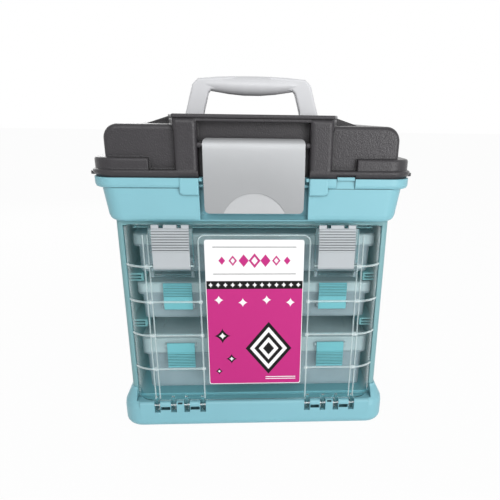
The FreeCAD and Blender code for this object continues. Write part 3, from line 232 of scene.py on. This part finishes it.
def paint_light_disc(material, rgb, radius, centre_z):
    """Paints light onto the part of a moulded material inside a circle in the XZ plane: there it takes a paler
    colour of its own.
    """
    tree = material.node_tree
    skin = next(n for n in tree.nodes if n.type == "BSDF_PRINCIPLED")
    place = add(tree, "ShaderNodeTexCoord").outputs["Object"]
    flat = add(tree, "ShaderNodeVectorMath", {0: place, 1: (1.0, 0.0, 1.0)}, operation="MULTIPLY")
    away = add(tree, "ShaderNodeVectorMath", {
        0: flat.outputs[0], 1: (0.0, 0.0, centre_z)}, operation="DISTANCE")
    inside = add(tree, "ShaderNodeMath", {0: away.outputs["Value"], 1: radius}, operation="LESS_THAN")
    tint = add(tree, "ShaderNodeMix", {
        "Factor": inside.outputs[0], "A": skin.inputs["Base Color"].links[0].from_socket, "B": opaque(rgb)},
        data_type="RGBA")
    tree.links.new(tint.outputs["Result"], skin.inputs["Base Color"])


def lit_through(tree):
    """1 for the rays that carry light through a clear wall, 0 for those that look at it."""
    lamps = add(tree, "ShaderNodeLightPath").outputs
    return add(tree, "ShaderNodeMath", {
        0: lamps["Is Shadow Ray"], 1: lamps["Is Diffuse Ray"]}, operation="MAXIMUM").outputs[0]


def hazy_plastic(name, rgb, face_on, grazing, roughness, flow, edge):
    """Clear but unpolished plastic: it hides a little face on and shows its own pale body at grazing angles
    and edges. Haze sends light forward, so nearly all of it goes on through the wall."""
    material, tree, out = blank(name)
    place = add(tree, "ShaderNodeTexCoord").outputs["Object"]
    clouds = add(tree, "ShaderNodeTexNoise", {
        "Vector": place, "Scale": 1 / flow, "Detail": 2.0, "Distortion": 0.6})
    round_edge = add(tree, "ShaderNodeBevel", {"Radius": edge}, samples=6).outputs["Normal"]
    slope = add(tree, "ShaderNodeLayerWeight", {"Blend": 0.5, "Normal": round_edge})
    body = add(tree, "ShaderNodeMapRange", {
        "Value": slope.outputs["Facing"], "To Min": face_on, "To Max": grazing})
    thick = add(tree, "ShaderNodeMapRange", {
        "Value": clouds.outputs["Fac"], "From Min": 0.3, "From Max": 0.7, "To Min": 0.9, "To Max": 1.1})
    kept = add(tree, "ShaderNodeMapRange", {"Value": lit_through(tree), "To Min": 1.0, "To Max": 0.1})
    milk = add(tree, "ShaderNodeMath", {
        0: thick.outputs["Result"], 1: kept.outputs["Result"]}, operation="MULTIPLY")
    cover = add(tree, "ShaderNodeMath", {
        0: body.outputs["Result"], 1: milk.outputs[0]}, operation="MULTIPLY", use_clamp=True)
    skin = add(tree, "ShaderNodeBsdfPrincipled", {
        "Base Color": opaque(rgb), "Roughness": roughness, "IOR": 1.5, "Alpha": cover.outputs["Value"],
        "Normal": round_edge})
    tree.links.new(skin.outputs["BSDF"], out.inputs["Surface"])
    return material


def polished_plastic(name, rgb, glint, roughness, flow, edge):
    """Polished clear plastic: light bends at its beads and edges, and lamps shine through it."""
    material, tree, out = blank(name)
    place = add(tree, "ShaderNodeTexCoord").outputs["Object"]
    clouds = add(tree, "ShaderNodeTexNoise", {"Vector": place, "Scale": 1 / flow, "Detail": 2.0})
    round_edge = add(tree, "ShaderNodeBevel", {"Radius": edge}, samples=6)
    ripple = add(tree, "ShaderNodeBump", {
        "Strength": 0.3, "Distance": 0.3 * MM, "Height": clouds.outputs["Fac"],
        "Normal": round_edge.outputs["Normal"]})
    glass = add(tree, "ShaderNodeBsdfPrincipled", {
        "Base Color": opaque(rgb), "Roughness": roughness, "IOR": 1.38, "Transmission Weight": 1.0,
        "Specular Tint": opaque(glint), "Normal": ripple.outputs["Normal"]})
    gap = add(tree, "ShaderNodeBsdfTransparent", {"Color": opaque(rgb)})
    skin = add(tree, "ShaderNodeMixShader", {0: lit_through(tree), 1: glass.outputs[0], 2: gap.outputs[0]})
    tree.links.new(skin.outputs[0], out.inputs["Surface"])
    return material


def steel_wire(name, rgb, spacing):
    """Drawn steel: fine lines along X from the die, which stretch each highlight."""
    material, tree, out = blank(name)
    place = add(tree, "ShaderNodeTexCoord").outputs["Object"]
    along = add(tree, "ShaderNodeMapping", {"Vector": place, "Scale": (0.02, 1.0, 1.0)})
    lines = add(tree, "ShaderNodeTexNoise", {
        "Vector": along.outputs["Vector"], "Scale": 1 / spacing, "Detail": 1.0})
    gloss = add(tree, "ShaderNodeMapRange", {"Value": lines.outputs["Fac"], "To Min": 0.22, "To Max": 0.42})
    skin = add(tree, "ShaderNodeBsdfPrincipled", {
        "Base Color": opaque(rgb), "Metallic": 1.0, "Roughness": gloss.outputs["Result"]})
    tree.links.new(skin.outputs["BSDF"], out.inputs["Surface"])
    return material


def coated_print(name, rgb, roughness, ior=1.5, coat=0.3):
    """Coated board or ink under a gloss varnish: a faint fibre in the tone, an even shine."""
    material, tree, out = blank(name)
    place = add(tree, "ShaderNodeTexCoord").outputs["Object"]
    fibre = add(tree, "ShaderNodeTexNoise", {"Vector": place, "Scale": 1 / (0.8 * MM), "Detail": 2.0})
    tint = add(tree, "ShaderNodeMix", {
        "Factor": fibre.outputs["Fac"], "A": shade(rgb, 0.97), "B": shade(rgb, 1.02)}, data_type="RGBA")
    skin = add(tree, "ShaderNodeBsdfPrincipled", {
        "Base Color": tint.outputs["Result"], "Roughness": roughness, "IOR": ior,
        "Coat Weight": coat, "Coat Roughness": 0.15})
    tree.links.new(skin.outputs["BSDF"], out.inputs["Surface"])
    return material


def dress(material, *names):
    """Gives CAD nodes one material in place of their own."""
    for name in names:
        part = NODES[name]
        part.data.materials.clear()
        part.data.materials.append(material)


def surface(rings, closed=True):
    """Points and faces of a grid of points, rows by columns: each cell is one face, and closed joins the
    last column to the first."""
    rows, columns = rings.shape[:2]
    index = np.arange(rows * columns).reshape(rows, columns)
    right = np.roll(index, -1, axis=1) if closed else index[:, 1:]
    left = index if closed else index[:, :-1]
    cells = np.stack([left[:-1], right[:-1], right[1:], left[1:]], axis=-1).reshape(-1, 4)
    return rings.reshape(-1, 3), cells


def build_mesh(name, parts, material, body):
    """One object at the origin from several grids of points and cells, which rides on a CAD body."""
    points, cells, start = [], [], 0
    for part_points, part_cells in parts:
        points.append(part_points)
        cells.append(part_cells + start)
        start += len(part_points)
    mesh = bpy.data.meshes.new(name)
    mesh.from_pydata(np.concatenate(points).tolist(), [], np.concatenate(cells).tolist())
    mesh.validate()
    mesh.materials.append(material)
    piece = bpy.data.objects.new(name, mesh)
    bpy.context.scene.collection.objects.link(piece)
    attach(piece, body)
    return piece


def motif(x, z, half_width, half_height, exponent, y, inner=0.0, steps=64):
    """A flat superellipse facing -Y: x = a sgn(cos t)|cos t|^(2/p), z = b sgn(sin t)|sin t|^(2/p), from an
    inner share to its rim. Exponent 1 is a diamond, 60 nearly a rectangle, 0.7 a four-pointed star."""
    t = np.linspace(0, 2 * np.pi, steps, endpoint=False)
    c, s = np.cos(t), np.sin(t)
    rim = np.stack([half_width * np.sign(c) * np.abs(c) ** (2 / exponent),
                    half_height * np.sign(s) * np.abs(s) ** (2 / exponent)], axis=1)
    flat = rim[None] * np.array([max(inner, 1e-4), 1.0])[:, None, None]
    return surface(np.stack([flat[..., 0] + x, np.full(flat.shape[:2], y), flat[..., 1] + z], axis=-1) * MM)


def bead(path, out, wide, proud, steps=12):
    """A half-round bead on a path: across it the section is w cos t, and outwards p sin t above the face and
    p/4 sin t below it. The two end rings shrink to a point, which closes the bead."""
    path, out = np.asarray(path, float), np.asarray(out, float)
    along = np.gradient(path, axis=0)
    along /= np.linalg.norm(along, axis=1, keepdims=True)
    across = np.cross(along, out)
    path, out, across = (np.concatenate([a[:1], a, a[-1:]]) for a in (path, out, across))
    size = np.ones(len(path))
    size[[0, -1]] = 1e-3
    t = np.linspace(0, 2 * np.pi, steps, endpoint=False)
    lift = np.where(np.sin(t) > 0, proud, proud / 4) * np.sin(t)
    rings = path[:, None] + size[:, None, None] * (
        across[:, None] * (wide * np.cos(t))[None, :, None] + out[:, None] * lift[None, :, None])
    return surface(rings[:, ::-1] * MM)


def flat_bead(points, y, wide, proud):
    """A bead on the flat of the door, along points given by x and z."""
    points = np.asarray(points, float)
    path = np.column_stack([points[:, 0], np.full(len(points), y), points[:, 1]])
    return bead(path, np.tile([0.0, -1.0, 0.0], (len(path), 1)), wide, proud)


def button(x, y, z, radius, proud, steps=12):
    """A low dome facing -Y: r = R cos a and height = H sin a, with a flat back just inside its face."""
    turn = np.linspace(0, 2 * np.pi, steps, endpoint=False)
    rise = np.linspace(0, np.pi / 2, 5)
    radii = np.concatenate([[1e-3, radius], radius * np.cos(rise[:-1]), [1e-3]])
    depth = np.concatenate([[-0.2, -0.2], proud * np.sin(rise)])
    rings = np.stack([x + radii[:, None] * np.cos(turn),
                      np.broadcast_to(y - depth[:, None], (len(radii), steps)),
                      z + radii[:, None] * np.sin(turn)], axis=-1)
    return surface(rings * MM)


def door_plan(inner, sizes, side):
    """Plan line of the door's face from x = inner to its edge, flat and then an arc that falls back by f over
    the wrap w, of radius w / sin(2 atan(f / w)), with its outward normals."""
    face, edge, wrap, fall = (
        v / MM for v in (-sizes.door_face, sizes.door_half, sizes.door_wrap, sizes.door_fall))
    turn = 2 * math.atan2(fall, wrap)
    radius = wrap / math.sin(turn)
    t = np.linspace(0, turn, 14)
    flat_x = np.linspace(inner, edge - wrap, 8)[:-1]
    still = np.zeros(len(flat_x))
    x = np.concatenate([flat_x, edge - wrap + radius * np.sin(t)])
    y = np.concatenate([still + face, face + radius - radius * np.cos(t)])
    normal_x = np.concatenate([still, np.sin(t)])
    normal_y = np.concatenate([still - 1, -np.cos(t)])
    return np.stack([side * x, y], axis=1), np.stack([side * normal_x, normal_y], axis=1)


def seen_or_mirrored(tree):
    """1 for the rays that the camera, clear plastic and shiny surfaces look along, 0 for those that light
    the rack."""
    path = add(tree, "ShaderNodeLightPath").outputs
    direct = add(tree, "ShaderNodeMath", {
        0: path["Is Camera Ray"], 1: path["Is Transmission Ray"]}, operation="MAXIMUM")
    return add(tree, "ShaderNodeMath", {
        0: direct.outputs[0], 1: path["Is Glossy Ray"]}, operation="MAXIMUM").outputs[0]


class RACK_OT_case(bpy.types.Operator):
    """Finish the base, sides, runners and top bin in moulded polypropylene"""
    bl_idname = "rack.case"
    bl_label = "Case and Bin"

    def execute(self, context):
        c, s = context.scene.rack_colours, context.scene.rack_sizes
        # Polypropylene from an eroded mould: satin, slightly waxy, no sharp reflections.
        # Its slots, windows and inner corners also get painted shade.
        aqua = moulded_plastic(
            "aqua_polypropylene", c.bin, 0.42, s.grain, 0.02 * MM, 3 * s.edge, crease_shade=3 * s.crease_shade)
        dress(aqua, "bulk_bin", "base_plinth")
        # The same plastic in a greyer teal, a shade more matt.
        teal = moulded_plastic("teal_polypropylene", c.body, 0.45, s.grain, 0.02 * MM, s.edge)
        dress(teal, "rack_shell", "runner_lower_right", "runner_lower_left",
              "runner_upper_right", "runner_upper_left")
        return {"FINISHED"}


class RACK_OT_lid(bpy.types.Operator):
    """Finish the charcoal lid, the silver latch and the grey handle"""
    bl_idname = "rack.lid"
    bl_label = "Lid, Latch and Handle"

    def execute(self, context):
        c, s = context.scene.rack_colours, context.scene.rack_sizes
        # Carbon-filled polypropylene with a leather-like mould grain: broad soft highlights, and painted shade
        # deepens its corners.
        charcoal = moulded_plastic(
            "charcoal_polypropylene", c.lid, 0.3, s.lid_grain, 0.35 * MM, 6 * s.edge, drift=0.15, ior=1.4,
            crease_shade=5 * s.crease_shade)
        dress(charcoal, "bin_lid")
        # ABS with aluminium flake: light spreads across the curve, with no clear reflection.
        silver = moulded_plastic(
            "silver_flake_abs", c.silver, 0.38, 0.4 * MM, 0.01 * MM, s.edge, drift=0.03, ior=1.53,
            metallic=0.35)
        # Painted light: a paler disc inside the thumb scoop.
        paint_light_disc(silver, c.scoop, s.scoop_radius, s.scoop_z)
        dress(silver, "main_latch")
        # Smooth light grey polypropylene, a little glossier where hands polish it.
        dress(moulded_plastic("grey_polypropylene", c.handle, 0.36, s.grain, 0.01 * MM, s.edge), "handle")
        return {"FINISHED"}


class RACK_OT_door(bpy.types.Operator):
    """Finish the clear door, raise the crowns of its beads and finish its two off-white latches"""
    bl_idname = "rack.door"
    bl_label = "Door"

    def execute(self, context):
        c, s = context.scene.rack_colours, context.scene.rack_sizes
        # Polished polycarbonate: almost invisible face on, bright and dark lines along beads and cut edges.
        dress(polished_plastic("clear_polycarbonate", c.door, c.glint, 0.03, s.flow, 2 * s.edge), "door")
        # The beads and the buttons at their crossings are pale and hazy: painted highlight for the bright
        # lines and glints that clear beads show.
        pale = hazy_plastic("polycarbonate_beads", c.bead, 0.22, 1.0, 0.06, s.flow, 0.2 * s.edge)
        proud, wide, face = s.bead / MM, s.bead_half / MM, -s.door_face / MM
        beads = []
        for side in (-1, 1):
            for height, inner in BEAD_ROWS.items():
                plan, normal = door_plan(inner, s, side)
                path = np.column_stack([plan, np.full(len(plan), height)])
                beads.append(bead(path, np.column_stack([normal, np.zeros(len(plan))]), wide, proud))
            for x in BEAD_UPRIGHTS:
                line = [(side * x, z) for z in np.linspace(BEAD_FOOT, BEAD_HEAD, 12)]
                beads.append(flat_bead(line, face, wide * 0.65, proud))
            for height, inner in BEAD_ROWS.items():
                beads += [button(side * x, face, height, CROSSING_RADIUS, 1.2 * proud)
                          for x in CROSSING_X if x > inner]
        turn = np.linspace(0, np.pi / 2, 7)
        half, corner = CARD_FRAME_HALF, CARD_FRAME_CORNER
        bend = np.stack([half - corner + corner * np.sin(turn),
                         CARD_FRAME_TOP - corner + corner * np.cos(turn)], axis=1)
        leg = np.column_stack([np.full(6, half), np.linspace(CARD_FRAME_LEG, BEAD_FOOT, 6)])
        right = np.concatenate([bend, leg])
        beads.append(flat_bead(np.concatenate([right[::-1] * [-1, 1], right]), face, wide * 0.75, proud))
        build_mesh("door_bead_crowns", beads, pale, "door")
        # Pale grey ABS, satin, with painted shade in the grooves between its finger ribs.
        latch = moulded_plastic(
            "off_white_abs", c.door_latch, 0.34, s.grain, 0.01 * MM, LATCH_EDGE, drift=0.02, ior=1.53,
            crease_shade=s.crease_shade)
        dress(latch, "door_latch_right", "door_latch_left")
        return {"FINISHED"}


class RACK_OT_boxes(bpy.types.Operator):
    """Finish the three divided boxes with their lids, dividers and latches"""
    bl_idname = "rack.boxes"
    bl_label = "Boxes"

    def execute(self, context):
        c, s = context.scene.rack_colours, context.scene.rack_sizes
        # Natural polypropylene is clear but hazy: the wall keeps a grey cast.
        tray = hazy_plastic("natural_polypropylene", c.tray, 0.45, 0.98, 0.2, s.flow, 4 * s.edge)
        # Its frosted mould makes the lid a milkier grey.
        frost = hazy_plastic("frosted_polypropylene", c.box_lid, 0.55, 0.72, 0.3, s.flow, 4 * s.edge)
        # Rolled sheet: clearer and glossier than the moulded walls.
        sheet = hazy_plastic("extruded_polystyrene", c.tray, 0.25, 0.8, 0.15, s.flow, s.edge)
        # Satin polypropylene with painted shade in the grooves between its finger ribs.
        latch = moulded_plastic(
            "latch_polypropylene", c.box_latch, 0.38, s.grain, 0.01 * MM, LATCH_EDGE, crease_shade=s.crease_shade)
        for box in ("deep_box", "middle_box", "top_box"):
            dress(tray, box + "_tray")
            dress(frost, box + "_lid")
            dress(sheet, box + "_dividers")
            dress(latch, box + "_latch_left", box + "_latch_right")
        return {"FINISHED"}


class RACK_OT_hardware(bpy.types.Operator):
    """Finish the steel pins and screws and the rubber feet"""
    bl_idname = "rack.hardware"
    bl_label = "Pins, Screws and Feet"

    def execute(self, context):
        c, s = context.scene.rack_colours, context.scene.rack_sizes
        # Bright drawn steel: a long thin highlight, broken by die lines.
        steel = steel_wire("drawn_steel", c.steel, s.brush)
        ends = ("_pin", "_pins", "_screws", "_rods", "_pin_right", "_pin_left")
        dress(steel, *(name for name in NODES if name.endswith(ends)))
        # Moulded rubber: matt, with a faint bloom.
        rubber = moulded_plastic(
            "black_rubber", c.rubber, 0.8, s.grain, 0.03 * MM, s.edge, drift=0.1, ior=1.52, sheen=0.1)
        dress(rubber, "foot_pads")
        return {"FINISHED"}


class RACK_OT_card(bpy.types.Operator):
    """Print the plain card behind the door with a pattern of stars, diamonds and stripes"""
    bl_idname = "rack.card"
    bl_label = "Printed Card"

    def execute(self, context):
        c, s = context.scene.rack_colours, context.scene.rack_sizes
        # Coated board: near white, with a soft varnish shine. The inks keep less of it.
        dress(coated_print("coated_board", c.card, 0.35), "label_card")
        magenta = coated_print("magenta_ink", c.magenta, 0.4, ior=1.35, coat=0.1)
        black = coated_print("black_ink", c.black, 0.45, ior=1.25, coat=0.0)
        white = coated_print("white_ink", c.card, 0.3)
        left, right, low, high = (v / MM for v in (CARD_LOW.x, CARD_HIGH.x, CARD_LOW.z, CARD_HIGH.z))
        # Each ink lies one film in front of the one before it.
        first, second, third = (CARD_LOW.y / MM - k * s.ink / MM for k in (1, 2, 3))
        middle = (left + right) / 2
        half = (right - left) / 2 - 0.7
        top = low + 0.70 * (high - low)
        bar, star, small_star, diamond = 60, 0.7, 0.75, 1.0  # exponents of the motifs

        # The grounds: a magenta field, and above it a black band with a row of white stars.
        magentas = [motif(middle, (low + top) / 2 + 0.4, half, (top - low) / 2 - 0.4, bar, first)]
        blacks = [motif(middle, top + 1.5, half, 4.6, bar, second)]
        whites = [motif(x, top + 1.5, 2.6, 2.9, small_star, third, steps=32)
                  for x in np.linspace(left + 5.5, right - 5.5, 13)]
        # The white field: a magenta lozenge chain between two fine rules.
        for i, x in enumerate(np.linspace(middle - 36, middle + 36, 7)):
            size = 4.6 + 3.6 * (1 - abs(i - 3) / 3)
            hollow = 0.55 if i % 2 else 0.0
            magentas.append(motif(x, high - 23, 0.8 * size, size, diamond, second, inner=hollow, steps=32))
        blacks += [motif(middle, z, half - 8, 0.35, bar, first) for z in (high - 8, high - 38)]
        # The magenta field: four stars, a large striped lozenge, three dark stars and two short bars.
        for i, x in enumerate(np.linspace(left + 14, right - 14, 4)):
            whites.append(motif(x, top - 16 - 3 * (i % 2), 5.2, 5.2, star, third, steps=48))
        for k in range(5):
            share = 1.0 - 0.19 * k
            ink = blacks if k % 2 == 0 else whites
            ink.append(motif(
                middle + 16, low + 46, 27 * share, 33 * share, diamond, second - 0.5 * k * s.ink / MM))
        for x, z, size in ((left + 17, low + 62, 9.5), (left + 27, low + 33, 6.5), (left + 12, low + 17, 4.5)):
            blacks.append(motif(x, z, size, size, star, second))
            whites.append(motif(x, z, 0.45 * size, 0.45 * size, star, third, steps=48))
        whites += [motif(right - 24, z, 18, 0.5, bar, third, steps=32) for z in (low + 6.5, low + 9.0)]

        build_mesh("card_magenta_print", magentas, magenta, "door")
        build_mesh("card_black_print", blacks, black, "door")
        build_mesh("card_white_print", whites, white, "door")
        return {"FINISHED"}


class RACK_OT_stage(bpy.types.Operator):
    """Lay the pale floor and set the soft light and the camera"""
    bl_idname = "rack.stage"
    bl_label = "Stage"

    def execute(self, context):
        scene, studio = context.scene, context.scene.rack_studio
        self.lay_floor(scene)
        self.light_room(scene, studio)
        self.set_camera(scene, studio)
        scene.view_settings.view_transform = "Standard"
        # A ray crosses many thin walls on its way through the door and the boxes.
        scene.cycles.transparent_max_bounces = 32
        return {"FINISHED"}

    def lay_floor(self, scene):
        """A square of paper that looks white and takes the rack's shadow."""
        material, tree, out = blank("pale_paper_floor")
        share = add(tree, "ShaderNodeMath", {0: seen_or_mirrored(tree), 1: PAPER_GLOW}, operation="MULTIPLY")
        paper = add(tree, "ShaderNodeBsdfDiffuse", {"Color": opaque(linear("#f4f4f4"))})
        glow = add(tree, "ShaderNodeEmission", {"Color": (1, 1, 1, 1), "Strength": 1.0})
        mixed = add(tree, "ShaderNodeMixShader", {
            0: share.outputs[0], 1: paper.outputs[0], 2: glow.outputs[0]})
        tree.links.new(mixed.outputs[0], out.inputs["Surface"])
        side = scene.rack_sizes.floor / 2
        x, y = np.meshgrid(np.linspace(-side, side, 9), np.linspace(-side, side, 9))
        points, cells = surface(np.stack([x, y, np.zeros_like(x)], axis=-1), closed=False)
        mesh = bpy.data.meshes.new("studio_floor")
        mesh.from_pydata(points.tolist(), [], cells.tolist())
        mesh.materials.append(material)
        floor = bpy.data.objects.new("studio_floor", mesh)
        scene.collection.objects.link(floor)

    def light_room(self, scene, studio):
        """Even light from all round, white where it is looked at, and the soft boxes."""
        world = bpy.data.worlds.new("white_room")
        scene.world = world
        world.use_nodes = True
        tree = world.node_tree
        tree.nodes.clear()
        room = add(tree, "ShaderNodeBackground", {"Color": (1, 1, 1, 1), "Strength": studio.room})
        white = add(tree, "ShaderNodeBackground", {"Color": (1, 1, 1, 1), "Strength": 1.0})
        both = add(tree, "ShaderNodeMixShader", {
            0: seen_or_mirrored(tree), 1: room.outputs[0], 2: white.outputs[0]})
        add(tree, "ShaderNodeOutputWorld", {"Surface": both.outputs[0]})
        for name, setting, at, size in SOFT_BOXES:
            light = bpy.data.lights.new(name, "AREA")
            light.energy, light.shape, light.size = getattr(studio, setting), "SQUARE", size
            lamp = bpy.data.objects.new(name, light)
            lamp.location = at
            lamp.rotation_euler = (Vector(LAMPS_AIM) - Vector(at)).to_track_quat("-Z", "Y").to_euler()
            scene.collection.objects.link(lamp)

    def set_camera(self, scene, studio):
        """The camera looks to the right by its turn, down by its dip, and rolls about its own axis."""
        lens = bpy.data.cameras.new("catalogue_camera")
        lens.sensor_width, lens.lens = 36.0, studio.lens
        lens.shift_x, lens.shift_y = studio.slide, studio.rise
        lens.clip_start, lens.clip_end = 0.02, 100
        camera = bpy.data.objects.new("catalogue_camera", lens)
        turn, dip, roll = studio.turn, studio.dip, studio.roll
        ahead = Vector((math.sin(turn) * math.cos(dip), math.cos(turn) * math.cos(dip), -math.sin(dip)))
        level = Vector((math.cos(turn), -math.sin(turn), 0))
        upright = Vector((math.sin(turn) * math.sin(dip), math.cos(turn) * math.sin(dip), math.cos(dip)))
        right = level * math.cos(roll) + upright * math.sin(roll)
        up = upright * math.cos(roll) - level * math.sin(roll)
        facing = Matrix((right, up, -ahead)).transposed()
        camera.matrix_world = Matrix.Translation(Vector(studio.camera)) @ facing.to_4x4()
        scene.collection.objects.link(camera)
        scene.camera = camera


class RACK_PT_panel(bpy.types.Panel):
    """Lists the steps, colours and sizes of the rack"""
    bl_label = "Craft Storage Rack"
    bl_idname = "RACK_PT_panel"
    bl_space_type = "VIEW_3D"
    bl_region_type = "UI"
    bl_category = "Craft Rack"

    def draw(self, context):
        for step in STEPS:
            self.layout.operator(step.bl_idname)
        for group in (context.scene.rack_colours, context.scene.rack_sizes, context.scene.rack_studio):
            box = self.layout.box()
            for name in group.__annotations__:
                box.prop(group, name)


STEPS = (RACK_OT_case, RACK_OT_lid, RACK_OT_door, RACK_OT_boxes, RACK_OT_hardware, RACK_OT_card, RACK_OT_stage)
GROUPS = {"rack_colours": RackColours, "rack_sizes": RackSizes, "rack_studio": RackStudio}


def register():
    for made in (*GROUPS.values(), *STEPS, RACK_PT_panel):
        bpy.utils.register_class(made)
    for name, group in GROUPS.items():
        setattr(bpy.types.Scene, name, PointerProperty(type=group))


def unregister():
    for name in GROUPS:
        delattr(bpy.types.Scene, name)
    for made in reversed((*GROUPS.values(), *STEPS, RACK_PT_panel)):
        bpy.utils.unregister_class(made)


def main():
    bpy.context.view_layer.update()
    register()
    for step in STEPS:
        group, _, name = step.bl_idname.partition(".")
        getattr(getattr(bpy.ops, group), name)()


if __name__ == "__main__":
    main()
